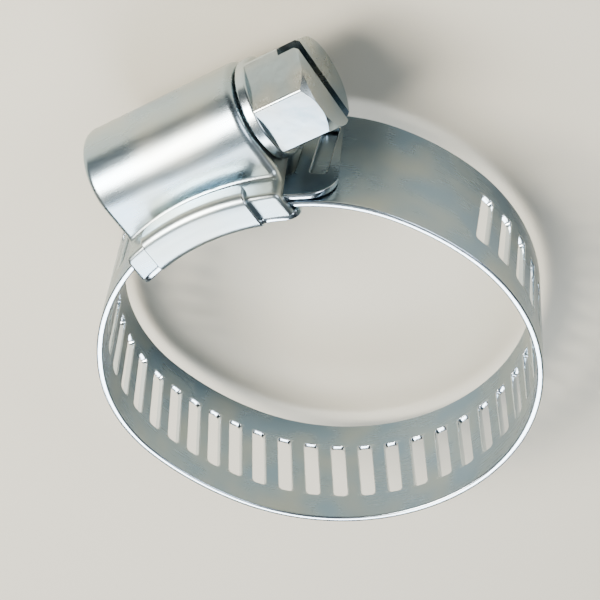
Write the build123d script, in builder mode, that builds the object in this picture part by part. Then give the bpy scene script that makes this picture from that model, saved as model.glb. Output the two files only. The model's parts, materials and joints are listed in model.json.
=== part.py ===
from build123d import *
from math import asin, atan2, cos, degrees, pi, radians, sin
import os

os.makedirs("parts", exist_ok=True)

# Worm-drive hose clamp. The ring axis is Z and the origin is the centre of the bore.
# The housing sits at +Y and the screw lies along X with its head at +X. All sizes are in mm.

# Ring and band
bore_diameter = 38.0  # inside the ring with the screw backed off
band_width = 12.7
band_thickness = 0.6
layer_gap = 0.15  # play between the saddle, the fixed end and the tail
link_gap = 0.06  # between neighbouring stretches of band

# Slots that the worm runs in
slot_pitch = 2.7
slot_length = 6.8
slot_width = 1.4
slot_corner = 0.4
travel_turns = 5  # screw turns from open to closed
tail_slots_ahead = 4  # slots on the head side of the middle of the housing
tail_margin_slots = 0.6  # band kept outside the housing when closed, in slots
tail_tip_radius = 3.0

# Worm screw
worm_crest = 3.7
worm_root = 2.8
thread_engagement = 0.5  # depth of the thread below the outside of the tail
thread_crest_width = 0.8
thread_base_width = 1.3
thread_foot = 0.3  # how far the thread is rooted in the core
journal_play = 0.06
worm_end_play = 0.25
nose_length = 0.9  # past the housing
nose_chamfer = 0.5
collar_radius = 4.5
collar_length = 1.0
collar_fillet = 0.2
hex_across_flats = 8.0
hex_fillet = 0.25
hex_height = 5.0
hex_crown = 0.6  # bevel round the end of the head
driver_slot_width = 1.2
driver_slot_depth = 1.8

# Housing and saddle
housing_length = 15.5
housing_wall = 0.75
dome_play = 0.3  # round the worm
band_side_play = 0.1
lip_thickness = 0.9
dome_root_fillet = 0.45
dome_end_fillet = 0.7
flange_fillet = 0.4  # outside of the folds between the flange and its legs
saddle_wall = 0.6
saddle_overhang = 0.3  # past each end of the housing
ear_length = 10.4
ear_dome_play = 0.5  # between an ear and the foot of the dome
ear_corner = 0.8
saddle_corner = 1.2
saddle_fillet = 0.35

# Fixed end of the band, held by two side tabs in windows of the housing
anchor_nose_end = 6.0
anchor_head_end = 3.3
tab_length = 3.0
tab_nose_offset = 2.6
window_play = 0.05
tongue_gap = 0.8  # between the held end and the first bending stretch

# Stretches of band, each one tangent to the next
nose_turns = (38.0, 21.0)  # degrees turned by the tight and the flat arc beside the tail
head_turns = (30.0, 18.0)  # the same beside the fixed end
main_stretches = 5
stretch_slots = 4

# Layers, as radii from the bore centre
bore = bore_diameter / 2
saddle_outer = bore + saddle_wall
held_inner = saddle_outer + layer_gap
held_middle = held_inner + band_thickness / 2
tail_inner = held_inner + band_thickness + layer_gap
tail_middle = tail_inner + band_thickness / 2
tail_outer = tail_inner + band_thickness
flange_inner = tail_outer + band_side_play
flange_outer = flange_inner + housing_wall
ear_outer = flange_outer + saddle_wall
ring_middle = bore + band_thickness / 2

# Widths, measured each way from the middle of the band
leg_inner = band_width / 2 + band_side_play
leg_outer = leg_inner + housing_wall
saddle_half_width = leg_outer + saddle_wall
half_length = housing_length / 2

# Screw axis and dome
screw_height = tail_outer - thread_engagement + worm_crest
dome_inner = worm_crest + dome_play
dome_outer = dome_inner + housing_wall
ear_inner = dome_outer + dome_root_fillet + ear_dome_play
lead_angle = degrees(atan2(slot_pitch, 2 * pi * worm_crest))


def ring_block(inner, outer, half_x, low, high):
    """A curved plate between two radii, cut square at +-half_x, from z = low to z = high."""
    with BuildPart() as block:
        with BuildSketch(Plane.XY.offset(low)):
            Circle(outer)
            Circle(inner, mode=Mode.SUBTRACT)
            with Locations((0, outer)):
                Rectangle(2 * half_x, outer, mode=Mode.INTERSECT)
        extrude(amount=high - low)
    return block.part


def ease_radii(outside, inside, turns):
    """Radii of two tangent arcs that lead from one circle to a smaller one round the same centre.

    The arcs turn by the given angles, the tight one first.
    """
    tight, flat = radians(turns[0]), radians(turns[1])
    ratio = sin(tight + flat) / sin(tight)
    shift = (outside - inside) / (1 - cos(tight + flat) - ratio * (1 - cos(tight)))
    return inside + shift * (1 - ratio), inside + shift


def band_stretch(centre, radius, start, turn, slots=0):
    """One arc of band round the centre, with its slots evenly spaced. Angles are polar degrees."""
    with BuildPart() as stretch:
        with BuildSketch(Plane.XY.offset(-band_width / 2)):
            with BuildLine():
                outside = CenterArc(centre, radius + band_thickness / 2, start, turn)
                inside = CenterArc(centre, radius - band_thickness / 2, start, turn)
                Line(outside @ 0, inside @ 0)
                Line(outside @ 1, inside @ 1)
            make_face()
        extrude(amount=band_width)
        for index in range(slots):
            angle = start + turn * (index + 0.5) / slots
            outward = Vector(cos(radians(angle)), sin(radians(angle)), 0)
            middle = Vector(*centre, 0) + outward * radius
            with BuildSketch(Plane(origin=middle, x_dir=(0, 0, 1), z_dir=outward)):
                with Locations(Rotation(0, 0, -lead_angle)):
                    RectangleRounded(slot_length, slot_width, slot_corner)
            extrude(amount=band_thickness, both=True, mode=Mode.SUBTRACT)
    return stretch.part


def save(part, name):
    part.label = name
    export_step(part, f"parts/{name}.step")


# Housing: a dome over the worm, on a flange that is arched like the ring
with BuildPart() as housing:
    with BuildSketch(Plane.YZ.offset(-half_length)):
        with Locations((screw_height, 0)):
            Circle(dome_outer)
        with Locations(((bore + screw_height) / 2, 0)):
            Rectangle(screw_height - bore, 2 * dome_outer)
    extrude(amount=housing_length)
    add(ring_block(saddle_outer, flange_outer, half_length, -leg_outer, leg_outer))
    root_edges = housing.edges().filter_by(GeomType.CIRCLE).filter_by(
        lambda edge: abs(edge.radius - flange_outer) < 0.01
        and abs(abs(edge.center().Z) - dome_outer) < 0.01
    )
    fillet(root_edges, dome_root_fillet)
    dome_ends = housing.edges().filter_by(GeomType.CIRCLE).filter_by(
        lambda edge: abs(edge.radius - dome_outer) < 0.01
    )
    fillet(dome_ends, dome_end_fillet)
    flange_folds = housing.edges().filter_by(GeomType.CIRCLE).filter_by(
        lambda edge: abs(edge.radius - flange_outer) < 0.01
        and abs(abs(edge.center().Z) - leg_outer) < 0.01
    )
    fillet(flange_folds, flange_fillet)
    # room for the band, then for the worm, then the journals of the screw
    add(ring_block(bore / 2, flange_inner, half_length + 1, -leg_inner, leg_inner), mode=Mode.SUBTRACT)
    add(ring_block(bore / 2, saddle_outer, half_length + 1, -leg_outer, leg_outer), mode=Mode.SUBTRACT)
    with BuildSketch(Plane.YZ.offset(lip_thickness - half_length)):
        with Locations((screw_height, 0)):
            Circle(dome_inner)
        with Locations(((bore + screw_height) / 2, 0)):
            Rectangle(screw_height - bore, 2 * dome_inner)
    extrude(amount=housing_length - 2 * lip_thickness, mode=Mode.SUBTRACT)
    with BuildSketch(Plane.YZ.offset(-half_length)):
        with Locations((screw_height, 0)):
            Circle(worm_root + journal_play)
    extrude(amount=housing_length, mode=Mode.SUBTRACT)
    # windows in the legs for the tabs of the held end
    with BuildSketch(Plane.XY.offset(-leg_outer)):
        with Locations((-tab_nose_offset, held_middle)):
            Rectangle(tab_length + 2 * window_play, 3 * band_thickness)
    extrude(amount=2 * leg_outer, mode=Mode.SUBTRACT)
save(housing.part, "housing")

# Saddle: the plate that bears on the hose, with an ear folded over each side of the flange
with BuildPart() as saddle:
    plate_half = half_length + saddle_overhang
    add(ring_block(bore, saddle_outer, plate_half, -saddle_half_width, saddle_half_width))
    for side in (-1, 1):
        wall = sorted((side * leg_outer, side * saddle_half_width))
        ear = sorted((side * ear_inner, side * saddle_half_width))
        add(ring_block(saddle_outer, flange_outer, ear_length / 2, *wall))
        add(ring_block(flange_outer, ear_outer, ear_length / 2, *ear))
    upright = saddle.edges().filter_by(Axis.Y)
    plate_corners = upright.filter_by(
        lambda edge: abs(abs(edge.center().X) - plate_half) < 0.01
        and abs(abs(edge.center().Z) - saddle_half_width) < 0.01
    )
    fillet(plate_corners, saddle_corner)
    ear_corners = saddle.edges().filter_by(Axis.Y).filter_by(
        lambda edge: abs(abs(edge.center().X) - ear_length / 2) < 0.01
        and abs(abs(edge.center().Z) - ear_inner) < 0.01
    )
    fillet(ear_corners, ear_corner)
    folds = saddle.edges().filter_by(
        lambda edge: edge.geom_type == GeomType.CIRCLE
        and abs(edge.radius - ear_outer) < 0.01
        and abs(abs(edge.center().Z) - saddle_half_width) < 0.01
    )
    fillet(folds, saddle_fillet)
save(saddle.part, "saddle")

# Screw: nose, worm and slotted hex head in one piece, made along X about the screw axis
screw_base = Plane(origin=(0, screw_height, 0), x_dir=(0, -1, 0), z_dir=(1, 0, 0))
worm_half = half_length - lip_thickness - worm_end_play
collar_start = half_length + worm_end_play
head_start = collar_start + collar_length
thread_reach = slot_pitch * (round(worm_half / slot_pitch) + 1)
with BuildPart() as head_round:
    with BuildSketch(screw_base.offset(head_start)):
        Circle(hex_across_flats / 2 / cos(radians(30)))
    extrude(amount=hex_height)
    chamfer(head_round.edges().sort_by(Axis.X)[-1], hex_crown)
with BuildPart() as hex_head:
    with BuildSketch(screw_base.offset(head_start)) as outline:
        RegularPolygon(hex_across_flats / 2, 6, major_radius=False)
        fillet(outline.vertices(), hex_fillet)
    extrude(amount=hex_height)
    add(head_round.part, mode=Mode.INTERSECT)
    with BuildSketch(screw_base.offset(head_start + hex_height)):
        Rectangle(4 * hex_across_flats, driver_slot_width)
    extrude(amount=-driver_slot_depth, mode=Mode.SUBTRACT)
with BuildPart() as worm_screw:
    # right-handed; it crosses the middle of a slot at x = 0, on the side of the band
    with BuildLine():
        path = Helix(
            slot_pitch,
            2 * thread_reach,
            worm_root,
            center=(-thread_reach - slot_pitch / 4, screw_height, 0),
            direction=(1, 0, 0),
        )
    profile = Plane(origin=path @ 0, x_dir=(0, 0, 1), z_dir=path % 0)
    with BuildSketch(profile):
        with BuildLine():
            Polyline(
                (-thread_foot, thread_base_width / -2),
                (worm_crest - worm_root, thread_crest_width / -2),
                (worm_crest - worm_root, thread_crest_width / 2),
                (-thread_foot, thread_base_width / 2),
                close=True,
            )
        make_face()
    sweep(path=path, is_frenet=True)
    with BuildSketch(screw_base.offset(-worm_half)):
        Circle(2 * worm_crest)
    extrude(amount=2 * worm_half, mode=Mode.INTERSECT)
    with BuildSketch(screw_base.offset(-half_length - nose_length)):
        Circle(worm_root)
    extrude(amount=half_length + nose_length + head_start)
    chamfer(worm_screw.edges().sort_by(Axis.X)[0], nose_chamfer)
    with BuildSketch(screw_base.offset(collar_start)):
        Circle(collar_radius)
    extrude(amount=collar_length)
    collar_edges = worm_screw.edges().filter_by(GeomType.CIRCLE).filter_by(
        lambda edge: abs(edge.radius - collar_radius) < 0.01
    )
    fillet(collar_edges, collar_fillet)
    add(hex_head.part)
save(worm_screw.part, "worm_screw")

# Held end of the band, between the saddle and the tail
anchor_start = 90 - degrees(asin(anchor_head_end / held_middle))
anchor_turn = degrees(asin(anchor_nose_end / held_middle)) + 90 - anchor_start
with BuildPart() as band_anchor:
    add(band_stretch((0, 0), held_middle, anchor_start, anchor_turn))
    with BuildSketch(Plane.XY.offset(-leg_outer)):
        with Locations((-tab_nose_offset, held_middle)):
            Rectangle(tab_length, 2 * band_thickness)
    extrude(amount=2 * leg_outer)
    layer = ring_block(held_inner, held_inner + band_thickness, half_length, -leg_outer, leg_outer)
    add(layer, mode=Mode.INTERSECT)
save(band_anchor.part, "band_anchor")

# Tail: from its tip under the screw head, through the housing, to where the ring starts to bend
pitch_turn = degrees(slot_pitch / tail_middle)
tail_slots_behind = round(half_length / slot_pitch + tail_margin_slots) + travel_turns
tail_start = 90 - pitch_turn * (tail_slots_ahead + 0.5)
tail_count = tail_slots_ahead + 1 + tail_slots_behind
tail_turn = pitch_turn * tail_count
trim = degrees(link_gap / 2 / ring_middle)
with BuildPart() as band_tail:
    add(band_stretch((0, 0), tail_middle, tail_start, tail_turn, tail_count))
    tip = band_tail.faces().filter_by(GeomType.PLANE).sort_by(Axis.X)[-1]
    fillet(tip.edges().filter_by(Axis.Z, reverse=True), tail_tip_radius)
save(band_tail.part, "band_tail")

# The rest of the ring, a chain of short stretches that bend where they meet
nose_tight, nose_flat = ease_radii(tail_middle, ring_middle, nose_turns)
head_tight, head_flat = ease_radii(held_middle, ring_middle, head_turns)
fixed_exit = 90 - degrees(asin(half_length / held_middle))
ring_turn = 360 + fixed_exit - tail_start - tail_turn - sum(nose_turns) - sum(head_turns)
arcs = [(nose_tight, nose_turns[0], stretch_slots), (nose_flat, nose_turns[1], stretch_slots)]
arcs += [(ring_middle, ring_turn / main_stretches, stretch_slots)] * main_stretches
arcs += [(head_flat, head_turns[1], 0), (head_tight, head_turns[0], 0)]

angle = tail_start + tail_turn
radius = tail_middle
centre = Vector(0, 0)
for number, (next_radius, turn, slots) in enumerate(arcs, 1):
    centre += Vector(cos(radians(angle)), sin(radians(angle))) * (radius - next_radius)
    radius = next_radius
    with BuildPart() as band_link:
        add(band_stretch((centre.X, centre.Y), radius, angle + trim, turn - 2 * trim, slots))
        if number == len(arcs):
            # the last stretch reaches into the housing, close to the held end
            tongue_start = anchor_start - degrees(tongue_gap / held_middle)
            add(band_stretch((0, 0), held_middle, fixed_exit - trim, tongue_start - fixed_exit + trim))
    save(band_link.part, f"band_link_{number:02d}")
    angle += turn
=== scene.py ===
import json
import math

import bmesh
import bpy
import numpy as np
from mathutils import Matrix, Vector


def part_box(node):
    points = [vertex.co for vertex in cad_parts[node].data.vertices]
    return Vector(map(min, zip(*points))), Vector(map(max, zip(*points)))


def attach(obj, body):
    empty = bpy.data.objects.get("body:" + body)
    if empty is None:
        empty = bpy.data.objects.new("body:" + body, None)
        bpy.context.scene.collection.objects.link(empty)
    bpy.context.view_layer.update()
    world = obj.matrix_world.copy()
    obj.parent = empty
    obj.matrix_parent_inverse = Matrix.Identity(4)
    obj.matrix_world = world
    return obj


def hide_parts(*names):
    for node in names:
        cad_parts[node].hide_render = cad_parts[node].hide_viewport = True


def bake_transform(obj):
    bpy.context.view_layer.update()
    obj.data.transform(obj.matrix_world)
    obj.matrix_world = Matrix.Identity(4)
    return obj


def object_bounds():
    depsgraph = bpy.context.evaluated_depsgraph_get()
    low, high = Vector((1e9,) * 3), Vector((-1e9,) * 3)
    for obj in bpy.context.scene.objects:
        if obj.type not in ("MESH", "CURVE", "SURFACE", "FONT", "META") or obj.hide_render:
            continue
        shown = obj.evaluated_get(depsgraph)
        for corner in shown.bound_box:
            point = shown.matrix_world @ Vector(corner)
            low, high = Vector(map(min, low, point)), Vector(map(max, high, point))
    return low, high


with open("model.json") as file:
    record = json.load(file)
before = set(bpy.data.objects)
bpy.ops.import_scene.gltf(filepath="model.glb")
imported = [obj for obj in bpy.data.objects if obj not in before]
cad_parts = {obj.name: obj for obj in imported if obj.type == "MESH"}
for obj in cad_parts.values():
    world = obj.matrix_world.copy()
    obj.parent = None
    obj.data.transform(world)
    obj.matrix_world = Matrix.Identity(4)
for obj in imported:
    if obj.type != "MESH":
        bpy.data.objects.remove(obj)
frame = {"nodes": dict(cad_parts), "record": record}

mm = 0.001
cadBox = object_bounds()
joints = {joint["name"]: joint for joint in frame["record"]["behaviour"]["joints"]}


# Colour and node helpers

def linearColour(hexCode):
    # sRGB hex to linear: each channel below 0.04045 is divided by 12.92, the rest follow a 2.4 power
    channels = [int(hexCode[i : i + 2], 16) / 255 for i in (1, 3, 5)]
    return (*[c / 12.92 if c <= 0.04045 else ((c + 0.055) / 1.055) ** 2.4 for c in channels], 1)


def addNode(tree, kind, settings=None, inputs=None):
    node = tree.nodes.new(kind)
    for name, value in (settings or {}).items():
        setattr(node, name, value)
    for socket, value in (inputs or {}).items():
        if isinstance(value, bpy.types.NodeSocket):
            tree.links.new(value, node.inputs[socket])
        else:
            node.inputs[socket].default_value = value
    return node


def setRamp(node, stops):
    ramp = node.color_ramp
    while len(ramp.elements) < len(stops):
        ramp.elements.new(1)
    for element, (place, colour) in zip(ramp.elements, stops):
        element.position = place
        element.color = linearColour(colour)


# Bright zinc plate with a clear blue passivate, on three steels. It is a half-bright metal, cool with
# faint warm clouds where the passivate is thicker. Sizes are in millimetres.
# Cold-rolled strip: the grain of the rolls runs along it, and its sheared edges are burnished. On all three
# the lighter edge colour is burnished wear and also a painted highlight.
zincOnStrip = {
    "cool": "#788fa1", "warm": "#97a09f", "wornAndHighlight": "#d3dce1", "cloudSize": 4.0,
    "roughLow": 0.2, "roughHigh": 0.3, "wornRough": 0.16,
    "grainPitch": 0.16, "grainStretch": 30, "grainDepth": 0.0016, "waveSize": 2.4, "waveDepth": 0.008,
}
# Deep-drawn sheet: smoothed by the die, with soft waves left by the draw.
zincOnPressing = {
    "cool": "#98abb6", "warm": "#b3b6ad", "wornAndHighlight": "#cfd8dd", "cloudSize": 5.5,
    "roughLow": 0.2, "roughHigh": 0.3, "wornRough": 0.16,
    "grainPitch": 0.25, "grainStretch": 10, "grainDepth": 0.001, "waveSize": 2.2, "waveDepth": 0.012,
}
# Cold-headed and rolled wire: the brightest, with small dents from the header's dies and the barrel.
zincOnScrew = {
    "cool": "#a9bac3", "warm": "#c8c6b8", "wornAndHighlight": "#dfe5e8", "cloudSize": 3.2,
    "roughLow": 0.16, "roughHigh": 0.27, "wornRough": 0.16,
    "grainPitch": 0.3, "grainStretch": 1, "grainDepth": 0.001, "waveSize": 1.1, "waveDepth": 0.01,
}


# What the three share: where the clouds turn from cool to warm and from smooth to rough
zincClouds = {"coolUpTo": 0.32, "warmFrom": 0.78, "smoothUpTo": 0.3, "roughFrom": 0.75, "grainRough": 0.08}


def zincPlate(name, look, followsBand):
    material = bpy.data.materials.new(name)
    material.use_nodes = True
    tree = material.node_tree
    tree.nodes.clear()
    place = addNode(tree, "ShaderNodeTexCoord")
    # on the band the grain follows the UV map, which runs in millimetres along it and across it
    grainPlace = addNode(
        tree, "ShaderNodeMapping", None,
        {"Vector": place.outputs["UV" if followsBand else "Object"],
         "Scale": (1 / look["grainStretch"], 1, 1)},
    )
    unit = 1 if followsBand else mm
    grain = addNode(
        tree, "ShaderNodeTexNoise", None,
        {"Vector": grainPlace.outputs["Vector"], "Scale": 1 / (look["grainPitch"] * unit),
         "Detail": 2, "Roughness": 0.5},
    )
    clouds, waves = (
        addNode(
            tree, "ShaderNodeTexNoise", None,
            {"Vector": place.outputs["Object"], "Scale": 1 / (look[size] * mm), "Detail": 1.2,
             "Roughness": 0.4},
        )
        for size in ("cloudSize", "waveSize")
    )
    tint = addNode(tree, "ShaderNodeValToRGB", None, {"Fac": clouds.outputs["Fac"]})
    setRamp(tint, [(zincClouds["coolUpTo"], look["cool"]), (zincClouds["warmFrom"], look["warm"])])
    roughClouds = addNode(
        tree, "ShaderNodeMapRange", None,
        {"Value": clouds.outputs["Fac"], "From Min": zincClouds["smoothUpTo"],
         "From Max": zincClouds["roughFrom"], "To Min": look["roughLow"], "To Max": look["roughHigh"]},
    )
    roughGrain = addNode(
        tree, "ShaderNodeMath", {"operation": "MULTIPLY_ADD"},
        {0: grain.outputs["Fac"], 1: zincClouds["grainRough"], 2: roughClouds.outputs["Result"]},
    )
    # edges are burnished and carry a painted highlight, a lighter and smoother colour: the pieces carry how
    # near each point is to one in their edge attribute
    wearAndHighlight = addNode(tree, "ShaderNodeAttribute", {"attribute_name": "edgeWearAndHighlight"}).outputs["Fac"]
    wornAndHighlight = addNode(
        tree, "ShaderNodeMix", {"data_type": "RGBA"},
        {0: wearAndHighlight, 6: tint.outputs["Color"], 7: linearColour(look["wornAndHighlight"])},
    )
    smooth = addNode(
        tree, "ShaderNodeMix", {"data_type": "FLOAT"},
        {0: wearAndHighlight, 2: roughGrain.outputs["Value"], 3: look["wornRough"]},
    )
    soft = addNode(
        tree, "ShaderNodeBump", None,
        {"Height": waves.outputs["Fac"], "Distance": look["waveDepth"] * mm, "Strength": 1.0},
    )
    fine = addNode(
        tree, "ShaderNodeBump", None,
        {"Height": grain.outputs["Fac"], "Distance": look["grainDepth"] * mm, "Strength": 1.0,
         "Normal": soft.outputs["Normal"]},
    )
    shader = addNode(
        tree, "ShaderNodeBsdfPrincipled", None,
        {"Base Color": wornAndHighlight.outputs[2], "Metallic": 1.0, "Roughness": smooth.outputs[0],
         "Normal": fine.outputs["Normal"]},
    )
    addNode(tree, "ShaderNodeOutputMaterial", None, {"Surface": shader.outputs["BSDF"]})
    return material


bandZinc = zincPlate("bright_zinc_on_rolled_strip", zincOnStrip, True)
housingZinc = zincPlate("bright_zinc_on_pressed_sheet", zincOnPressing, False)
screwZinc = zincPlate("bright_zinc_on_headed_screw", zincOnScrew, False)
print("materials made")


# Band

bandShape = {
    "thickness": 0.6 * mm,
    "slotLength": 6.8 * mm,
    "slotWidth": 1.4 * mm,
    "slotCorner": 0.4 * mm,
    "slotSlant": math.radians(6.6),  # the worm's lead angle
    "slotRound": 0.09 * mm,  # rolled edge of a slot
    "rollSteps": (0, 0.1, 0.4, 1, 1.5),  # lines beside a slot, in units of its rolled edge
    "edgeRound": 0.16 * mm,  # rolled edge of the strip
    "tipRadius": 2.8 * mm,
    # the brighter edge is burnished wear and a painted highlight
    "wearAndHighlightReach": 0.13 * mm,  # how far the brighter edge reaches in
    "tailCells": 13,  # one slot to a cell
    "stretchCells": 4,
    "slottedStretches": 7,
    "tongueCells": 2,
    "plainColumns": 8,
}


def arcBetween(start, heading, end):
    # the one arc that leaves start along heading and passes through end, turning left
    chord = end - start
    half = np.angle(chord / heading)
    radius = abs(chord) / (2 * math.sin(half))
    return start + 1j * heading * radius, radius, 2 * half


def bandArcs(shape):
    # inside line of the strip as tangent arcs, from the tip of the tail to its end in the housing
    hinges = [complex(*joint["pos_m"][:2]) for name, joint in joints.items() if name.startswith("bend")]
    innerTail = abs(hinges[0])
    outerTail = innerTail + shape["thickness"]
    tipAngle = math.acos(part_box("band_tail")[1][0] / outerTail)
    tailTurn = np.angle(hinges[0]) - tipAngle
    arcs = [(0j, innerTail, tipAngle, tailTurn, shape["tailCells"], True)]
    heading = 1j * hinges[0] / innerTail
    for number, (start, end) in enumerate(zip(hinges, hinges[1:])):
        centre, radius, turn = arcBetween(start, heading, end)
        slotted = number < shape["slottedStretches"]
        arcs.append((centre, radius, np.angle(start - centre), turn, shape["stretchCells"], slotted))
        heading *= np.exp(1j * turn)
    # the last arc meets the circle of the held end, which is round the origin, at a tangent
    start, normal = hinges[-1], 1j * heading
    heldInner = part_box("band_anchor")[1][1] - shape["thickness"]
    across = (start * np.conj(normal)).real
    radius = (heldInner**2 - abs(start) ** 2) / (2 * (across + heldInner))
    centre = start + normal * radius
    turn = np.angle(centre / (start - centre))
    arcs.append((centre, radius, np.angle(start - centre), turn, shape["stretchCells"], False))
    exitAngle = np.angle(centre)
    tongueAngle = math.acos(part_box("band_link_09")[0][0] / heldInner)
    arcs.append((0j, heldInner, exitAngle, tongueAngle - exitAngle, shape["tongueCells"], False))
    return arcs


def bandRows(shape):
    # heights across the strip, close together where the slot ends, at its rolled edge and at the strip's
    slotHalf, corner = shape["slotLength"] / 2, shape["slotCorner"]
    roll, edge, half = shape["slotRound"], shape["edgeRound"], shape["halfWidth"]
    upper = [0.0, (slotHalf - corner) * 0.5, slotHalf - corner]
    upper += [slotHalf - corner + corner * math.sin(math.radians(a)) for a in (30, 55, 75)]
    upper += [slotHalf + roll * step for step in shape["rollSteps"]]
    flat = (upper[-1], half - edge * 1.4)
    upper += [flat[0] + (flat[1] - flat[0]) * step for step in (0.35, 0.7, 1)]
    upper += [half - edge * step for step in (1, 0.5, 0.15, 0)]
    upper = np.array(upper)
    return np.concatenate([-upper[:0:-1], upper])


def rollOff(distance, radius):
    # height lost at a rounded edge: a quarter circle that starts one radius in
    inside = np.clip(radius - distance, 0, radius)
    return radius - np.sqrt(radius**2 - inside**2)


def slotCell(shape, rows, length, first):
    # columns of one cell as offsets from its middle: land, rolled edge, slot, rolled edge, land
    slotHalf, corner, roll = shape["slotLength"] / 2, shape["slotCorner"], shape["slotRound"]
    halfWidth = shape["slotWidth"] / 2
    inCorner = np.clip(np.abs(rows) - (slotHalf - corner), 0, corner)
    reach = halfWidth - corner + np.sqrt(corner**2 - inCorner**2)
    fade = np.clip((np.abs(rows) - slotHalf) / (shape["halfWidth"] - slotHalf), 0, 1)
    lean = math.tan(shape["slotSlant"]) * np.clip(rows, -slotHalf, slotHalf) * (1 - fade)
    left, right = lean - reach, lean + reach
    steps = (0, 0.04, 0.12, 0.25, 0.45, 0.7) if first else (0, 0.5)
    outer = left - shape["rollSteps"][-1] * roll
    columns = [-length / 2 + (outer + length / 2) * step for step in steps]
    columns += [left - roll * step for step in shape["rollSteps"][::-1]]
    columns += [left + (right - left) * step for step in (1 / 3, 2 / 3)]
    columns += [right + roll * step for step in shape["rollSteps"]]
    columns += [(columns[-1] + length / 2) / 2, np.full_like(rows, length / 2)]
    offsets = np.array(columns)
    # distance from the slot's outline, a leaning rectangle with rounded corners
    leanHere = math.tan(shape["slotSlant"]) * rows
    alongSlot = np.abs(offsets - leanHere) - (halfWidth - corner)
    acrossSlot = np.abs(rows)[None, :] - (slotHalf - corner)
    outside = np.hypot(np.clip(alongSlot, 0, None), np.clip(acrossSlot, 0, None))
    distance = outside + np.minimum(np.maximum(alongSlot, acrossSlot), 0) - corner
    firstOpen = len(steps) + len(shape["rollSteps"]) - 1
    opening = np.zeros((len(offsets) - 1, len(rows) - 1), bool)
    opening[firstOpen : firstOpen + 3] = np.abs(rows[:-1] + rows[1:]) / 2 < slotHalf
    return offsets, np.clip(distance, 0, None), opening


def plainCell(shape, rows, length):
    offsets = np.linspace(-length / 2, length / 2, shape["plainColumns"])[:, None] + 0 * rows
    return offsets, np.full_like(offsets, length), np.zeros((len(offsets) - 1, len(rows) - 1), bool)


def stripMesh(name, shape, cells, rows):
    # cells are laid end to end; each is (arc, its start along the band, middle, length, slotted, tip)
    thickness, half = shape["thickness"], shape["halfWidth"]
    along, angles, centres, radii, slotGap, openings, tips = [], [], [], [], [], [], []
    for number, (arc, arcStart, middle, length, slotted, tip) in enumerate(cells):
        make = slotCell(shape, rows, length, tip) if slotted else plainCell(shape, rows, length)
        offsets, distance, opening = make
        offsets, distance = (grid[min(number, 1) :] for grid in (offsets, distance))
        radius = arc[1] + thickness / 2
        along.append(arcStart + middle + offsets)
        angles.append(arc[2] + (middle + offsets) / radius)
        centres.append(np.full(offsets.shape, arc[0]))
        radii.append(np.full(offsets.shape, radius))
        slotGap.append(distance)
        openings.append(opening)
        tips.append(np.full(offsets.shape, tip))
    along, angles, centres, radii, slotGap, openings, tips = (
        np.concatenate(grids) for grids in (along, angles, centres, radii, slotGap, openings, tips)
    )
    across = np.broadcast_to(rows, along.shape).copy()
    edgeGap = half - np.abs(across)
    drop = np.maximum(rollOff(slotGap, shape["slotRound"]), rollOff(edgeGap, shape["edgeRound"]))
    # edge mask: 1 at the strip's edges and round the slots, fading to 0 inward; it lightens the colour as
    # burnished wear and a painted highlight
    wearAndHighlight = np.clip(1 - np.minimum(slotGap, edgeGap) / shape["wearAndHighlightReach"], 0, 1)
    # the tip's corners are rounded: half width = width / 2 - r + sqrt(r^2 - (r - s)^2)
    tipRadius = shape["tipRadius"]
    free = shape["slotLength"] / 2 + shape["rollSteps"][-1] * shape["slotRound"]
    left = np.clip(tipRadius - along, 0, tipRadius)
    tipHalf = half - tipRadius + np.sqrt(tipRadius**2 - left**2)
    pulled = free + (np.abs(across) - free) * (tipHalf - free) / (half - free)
    across = np.where(tips & (np.abs(across) > free), np.sign(across) * pulled, across)
    # a point of the strip = arc centre + (radius +- half the thickness left) turned by the angle
    spin, height = np.exp(1j * angles), thickness / 2 - drop
    flat = [centres + spin * (radii + side * height) for side in (1, -1)]
    sides = [np.stack([spot.real, spot.imag, across], -1) for spot in flat]
    return closedSheet(name, sides, openings, (along, across), wearAndHighlight)


def closedSheet(name, sides, openings, uv, wearAndHighlight):
    # sheet metal from two grids of points, one for each side, less the quads that are open
    count = wearAndHighlight.size
    index = np.arange(count).reshape(wearAndHighlight.shape)
    quads = np.stack([index[:-1, :-1], index[1:, :-1], index[1:, 1:], index[:-1, 1:]], -1)[~openings]
    # a wall stands on every edge that only one quad uses
    edges = np.stack([quads, np.roll(quads, -1, 1)], -1).reshape(-1, 2)
    rim = edges[~np.isin(edges[:, 0] * count + edges[:, 1], edges[:, 1] * count + edges[:, 0])]
    walls = np.stack([rim[:, 1], rim[:, 0], rim[:, 0] + count, rim[:, 1] + count], 1)
    used, faces = np.unique(np.concatenate([quads, quads[:, ::-1] + count, walls]), return_inverse=True)
    vertices = np.concatenate([side.reshape(-1, 3) for side in sides])[used]
    uv = np.tile(np.stack([part.ravel() for part in uv], 1) / mm, (2, 1))[used]
    piece = meshObject(name, vertices, faces.reshape(-1, 4), uv)
    # the edge mask goes on the mesh for the material's burnished wear and painted highlight
    layer = piece.data.attributes.new("edgeWearAndHighlight", "FLOAT", "POINT")
    layer.data.foreach_set("value", np.tile(wearAndHighlight.ravel(), 2)[used])
    return piece


def meshObject(name, vertices, faces, uv=None, sharpAngle=50):
    mesh = bpy.data.meshes.new(name)
    mesh.from_pydata(vertices.tolist(), [], faces.tolist())
    if uv is not None:
        layer = mesh.uv_layers.new(name="UVMap")
        corners = np.empty(len(mesh.loops), int)
        mesh.loops.foreach_get("vertex_index", corners)
        layer.data.foreach_set("uv", uv[corners].ravel())
    mesh.polygons.foreach_set("use_smooth", np.ones(len(mesh.polygons), bool))
    mesh.set_sharp_from_angle(angle=math.radians(sharpAngle))
    mesh.validate()
    piece = bpy.data.objects.new(name, mesh)
    bpy.context.scene.collection.objects.link(piece)
    return piece


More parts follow.
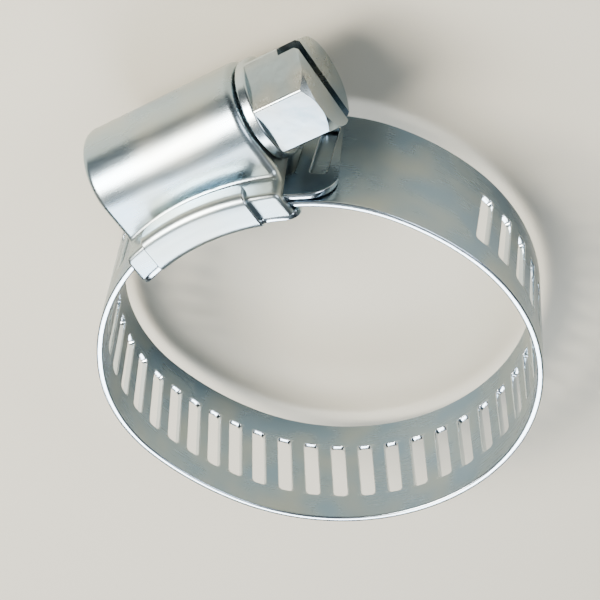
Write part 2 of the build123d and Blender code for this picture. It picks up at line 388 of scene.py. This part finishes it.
def makeBand(shape):
    lowest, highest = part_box("band_tail")
    shape["halfWidth"] = (highest[2] - lowest[2]) / 2
    arcs, rows = bandArcs(shape), bandRows(shape)
    middleRadius = [arc[1] + shape["thickness"] / 2 for arc in arcs]
    starts = np.cumsum([0] + [radius * arc[3] for radius, arc in zip(middleRadius, arcs)])
    cells = []
    for number, arc in enumerate(arcs):
        length = middleRadius[number] * arc[3] / arc[4]
        cells.append([
            (arc, starts[number], length * (index + 0.5), length, arc[5], number == 0 and index == 0)
            for index in range(arc[4])
        ])

    links = len(arcs) - 2
    half = shape["stretchCells"] // 2
    tail = stripMesh("band_tail_strip", shape, cells[0][:-1], rows)
    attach(tail, "tail")
    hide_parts("band_tail")
    pieces = [tail]
    for number in range(1, links + 1):
        before = cells[0][-1:] if number == 1 else cells[number - 1][half:]
        after = cells[number] + cells[-1] if number == links else cells[number][:half]
        piece = stripMesh(f"band_strip_{number:02d}", shape, before + after, rows)
        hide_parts(f"band_link_{number:02d}")
        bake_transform(piece)
        pieces.append(piece)
    for piece in pieces:
        piece.data.materials.append(bandZinc)
    return pieces


bandPieces = makeBand(bandShape)
print("band made:", len(bandPieces), "pieces,", sum(len(p.data.polygons) for p in bandPieces), "faces")


# Housing: the blanking die and the barrel leave the edges of the pressing slightly rounded
housingShape = {
    "edgeRadius": 0.07 * mm,
    "edgeSteps": 2,
    "edgeFullness": 0.6,
    "sharpest": math.radians(38),  # an edge that turns more than this is rolled over
    "smoothUpTo": math.radians(50),  # and shading stays smooth up to this turn
    "mergeWithin": 0.001 * mm,
    "flatWithin": math.radians(0.4),
}


def makeHousing(shape):
    # a merged copy of the node, with each sharp edge rolled over
    mesh = frame["nodes"]["housing"].data.copy()
    mesh.name = "housing_shell"
    shell = bmesh.new()
    shell.from_mesh(mesh)
    bmesh.ops.remove_doubles(shell, verts=shell.verts, dist=shape["mergeWithin"])
    bmesh.ops.dissolve_limit(
        shell, angle_limit=shape["flatWithin"], verts=shell.verts, edges=shell.edges,
    )
    # the rolled-over faces get the full edge mask: burnished wear and a painted highlight
    wornAndHighlight = shell.faces.layers.float.new("edgeWearAndHighlight")
    sharp = [edge for edge in shell.edges if edge.calc_face_angle() > shape["sharpest"]]
    rolled = bmesh.ops.bevel(
        shell, geom=sharp, offset=shape["edgeRadius"], offset_type="OFFSET",
        segments=shape["edgeSteps"], profile=shape["edgeFullness"], affect="EDGES", clamp_overlap=False,
    )
    for face in rolled["faces"]:
        face[wornAndHighlight] = 1
    shell.to_mesh(mesh)
    shell.free()
    mesh.polygons.foreach_set("use_smooth", np.ones(len(mesh.polygons), bool))
    mesh.set_sharp_from_angle(angle=shape["smoothUpTo"])
    mesh.materials.clear()
    piece = bpy.data.objects.new("housing_shell", mesh)
    bpy.context.scene.collection.objects.link(piece)
    normals = piece.modifiers.new("flatFacesFirst", "WEIGHTED_NORMAL")
    normals.keep_sharp = True
    return piece


# Saddle: one blank, folded up at its sides and over the housing's flange
saddleShape = {
    "thickness": 0.6 * mm,
    "lowerFold": 0.4 * mm,  # radii of the folds at the middle of the sheet
    "upperFold": 0.55 * mm,
    "earHalf": 5.2 * mm,
    "lipEdge": 5.7 * mm,  # from the middle of the clamp to the free edge of an ear
    "plateCorner": 1.2 * mm,
    "earCorner": 0.8 * mm,
    "edgeRound": 0.14 * mm,
    # how far the lighter edge, burnished wear and a painted highlight, reaches in
    "wearAndHighlightReach": 0.16 * mm,
    "columnPitch": 0.6 * mm,
    "besideEar": (0.3 * mm, 0.9 * mm),  # columns on the plate just past an ear
    "plateRows": (0, 1.6 * mm, 3.2 * mm),
    "drawnIn": (2.2, 1.6),  # rows that start to follow a plate corner, in units of its radius
}


def roundedInside(x, y, halfX, halfY, corner):
    # distance in from the outline of a rectangle with rounded corners, negative outside it
    overX, overY = np.abs(x) - (halfX - corner), np.abs(y) - (halfY - corner)
    outside = np.hypot(np.clip(overX, 0, None), np.clip(overY, 0, None))
    return corner - outside - np.minimum(np.maximum(overX, overY), 0)


def roundedLimit(x, halfX, halfY, corner):
    # half height of the same rectangle at x
    near = np.clip(corner - (halfX - np.abs(x)), 0, corner)
    return halfY - corner + np.sqrt(corner**2 - near**2)


def cornerSteps(half, corner, edge):
    # places up to an outline, closer together round the corner and at the rolled edge
    steps = [half - corner * (1 - math.sin(math.radians(angle))) for angle in (0, 25, 42, 55)]
    return steps + [half - edge * step for step in (1, 0.5, 0.15, 0)]


def makeSaddle(shape):
    lowest, highest = (Vector(corner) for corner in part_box("saddle"))
    half, foldIn, foldOut = shape["thickness"] / 2, shape["lowerFold"], shape["upperFold"]
    plateHalf = highest.x
    plateRadius = math.hypot(lowest.x, lowest.y) + half
    wallSide, lipRadius = highest.z - half, highest.y - half
    quarter = math.pi / 2
    # lengths along the profile from the middle of the plate to each change of direction
    plateEnd = wallSide - foldIn
    wallStart = plateEnd + quarter * foldIn
    wallEnd = wallStart + lipRadius - foldOut - plateRadius - foldIn
    lipStart = wallEnd + quarter * foldOut
    lipEnd = lipStart + wallSide - foldOut - shape["lipEdge"]
    plate = (plateHalf, plateEnd, shape["plateCorner"])
    ear = (shape["earHalf"], lipEnd, shape["earCorner"])
    edge = shape["edgeRound"]
    earColumns = cornerSteps(ear[0], ear[2], edge)
    columns = np.array([
        *np.arange(0, earColumns[0], shape["columnPitch"]), *earColumns,
        *(ear[0] + past for past in shape["besideEar"]), *cornerSteps(plate[0], plate[2], edge),
    ])
    rows = np.array([
        *shape["plateRows"], *(plateEnd - radii * plate[2] for radii in shape["drawnIn"]),
        *cornerSteps(plateEnd, plate[2], edge),
        *np.linspace(plateEnd, wallStart, 8)[1:], *np.linspace(wallStart, wallEnd, 5)[1:],
        *np.linspace(wallEnd, lipStart, 10)[1:], (lipStart + lipEnd - ear[2]) / 2,
        *cornerSteps(lipEnd, ear[2], edge),
    ])
    columns, rows = (np.concatenate([-places[:0:-1], places]) for places in (columns, rows))
    x, along = np.meshgrid(columns, rows, indexing="ij")
    side, along = np.sign(along), np.abs(along)
    # rows near the free edges are drawn in to follow the rounded corners
    onPlate, free = along <= plateEnd + 1e-9, plateEnd - shape["drawnIn"][0] * plate[2]
    pulled = free + (along - free) * (roundedLimit(x, *plate) - free) / (plateEnd - free)
    along = np.where(onPlate & (np.abs(x) > ear[0]) & (along > free), pulled, along)
    pulled = lipStart + (along - lipStart) * (roundedLimit(x, *ear) - lipStart) / (lipEnd - lipStart)
    along = np.where((along > lipStart) & (np.abs(x) <= ear[0]), pulled, along)
    gap = np.maximum(roundedInside(x, along, *plate), roundedInside(x, along, *ear))
    height = half - rollOff(np.clip(gap, 0, None), edge)
    # edge mask for the lighter colour: burnished wear and a painted highlight
    wearAndHighlight = np.clip(1 - gap / shape["wearAndHighlightReach"], 0, 1)
    # profile: straight plate, quarter turn up, straight wall, quarter turn in, straight lip
    turnIn = np.clip((along - plateEnd) / foldIn, 0, quarter)
    turnOut = np.clip((along - wallEnd) / foldOut, 0, quarter)
    across = np.minimum(along, plateEnd) + foldIn * np.sin(turnIn)
    across -= foldOut * (1 - np.cos(turnOut)) + np.clip(along - lipStart, 0, None)
    radius = plateRadius + foldIn * (1 - np.cos(turnIn)) + np.clip(along - wallStart, 0, wallEnd - wallStart)
    radius += foldOut * np.sin(turnOut)
    heading = turnIn + turnOut
    sides = []
    for facing in (1, -1):
        z = side * (across + facing * height * np.sin(heading))
        r = radius - facing * height * np.cos(heading)
        sides.append(np.stack([x, np.sqrt(r**2 - x**2), z], -1))  # arched: y = sqrt(r^2 - x^2)
    middleX = np.abs(columns[:-1] + columns[1:]) / 2
    middleRow = np.abs(rows[:-1] + rows[1:]) / 2
    openings = (middleX[:, None] > ear[0]) & (middleRow[None, :] > plateEnd)
    return closedSheet("saddle_plate", sides, openings, (x, side * along), wearAndHighlight)


def dressNode(node, material):
    piece = frame["nodes"][node]
    piece.data.materials.clear()
    piece.data.materials.append(material)


for piece, node in ((makeHousing(housingShape), "housing"), (makeSaddle(saddleShape), "saddle")):
    piece.data.materials.append(housingZinc)
    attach(piece, "housing")
    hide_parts(node)
dressNode("band_anchor", bandZinc)
dressNode("worm_screw", screwZinc)
print("housing, saddle and screw made")


# Stage, light and camera

stage = {
    "floor": "#bdb7a6", "size": 6.0, "roughness": 0.55,
    # the room round it, from below to above
    "room": [(0.0, "#a3a4a2"), (0.15, "#6d7276"), (0.45, "#22282d"), (0.72, "#5f6a72"), (1.0, "#c8d2d9")],
    "roomStrength": 0.7,
}
lights = [
    # name, toward the light from the object, distance, width, height, power, colour
    ("key", (-0.55, 0.75, 1.0), 0.36, 0.2, 0.14, 4.4, "#fffaf2"),
    ("fill", (1.0, 0.1, 0.7), 0.42, 0.24, 0.14, 1.1, "#e9f2ff"),
    ("rim", (-0.4, -0.53, 0.75), 0.38, 0.3, 0.12, 1.7, "#eef6ff"),
]
viewpoint = {
    "toward": (0.4, 0.53, 0.75),  # from the object to the camera
    "up": (0.34, 0.65, -0.66),  # which way is up in the view
    "lens": 100,
    "fill": 0.84,
    "clip": (0.005, 10),
}


def makeStage():
    half = stage["size"] / 2
    low = cadBox[0][2]
    corners = np.array([(-half, -half, low), (half, -half, low), (half, half, low), (-half, half, low)])
    floor = meshObject("floor", corners, np.array([[0, 1, 2, 3]]))
    paper = bpy.data.materials.new("pale_paper")
    paper.use_nodes = True
    shader = paper.node_tree.nodes["Principled BSDF"]
    shader.inputs["Base Color"].default_value = linearColour(stage["floor"])
    shader.inputs["Roughness"].default_value = stage["roughness"]
    floor.data.materials.append(paper)
    world = bpy.data.worlds.new("studio")
    bpy.context.scene.world = world
    world.use_nodes = True
    tree = world.node_tree
    background = tree.nodes["Background"]
    place = addNode(tree, "ShaderNodeTexCoord")
    split = addNode(tree, "ShaderNodeSeparateXYZ", None, {"Vector": place.outputs["Generated"]})
    ramp = addNode(tree, "ShaderNodeValToRGB", None, {"Fac": split.outputs["Z"]})
    setRamp(ramp, stage["room"])
    tree.links.new(ramp.outputs["Color"], background.inputs["Color"])
    background.inputs["Strength"].default_value = stage["roomStrength"]


def makeLights(middle):
    for name, toward, distance, width, height, power, colour in lights:
        data = bpy.data.lights.new(name, "AREA")
        data.shape, data.size, data.size_y = "RECTANGLE", width, height
        data.energy, data.color = power, linearColour(colour)[:3]
        lamp = bpy.data.objects.new(name, data)
        bpy.context.scene.collection.objects.link(lamp)
        lamp.location = middle + Vector(toward).normalized() * distance
        lamp.rotation_mode = "QUATERNION"
        lamp.rotation_quaternion = Vector(toward).to_track_quat("Z", "Y")


def makeCamera(middle, radius):
    data = bpy.data.cameras.new("camera")
    data.lens = viewpoint["lens"]
    camera = bpy.data.objects.new("camera", data)
    bpy.context.scene.collection.objects.link(camera)
    toward = Vector(viewpoint["toward"]).normalized()
    right = Vector(viewpoint["up"]).cross(toward).normalized()
    up = toward.cross(right)
    turn = Matrix((right, up, toward)).transposed()
    halfAngle = math.atan(data.sensor_width / 2 / data.lens)
    distance = radius / math.sin(halfAngle) * viewpoint["fill"]
    camera.matrix_world = Matrix.Translation(middle + toward * distance) @ turn.to_4x4()
    data.clip_start, data.clip_end = viewpoint["clip"]
    bpy.context.scene.camera = camera


makeStage()
lowest, highest = (Vector(corner) for corner in cadBox)
middle = (lowest + highest) / 2
makeLights(middle)
makeCamera(middle, (highest - lowest).length / 2)
print("stage, lights and camera made")
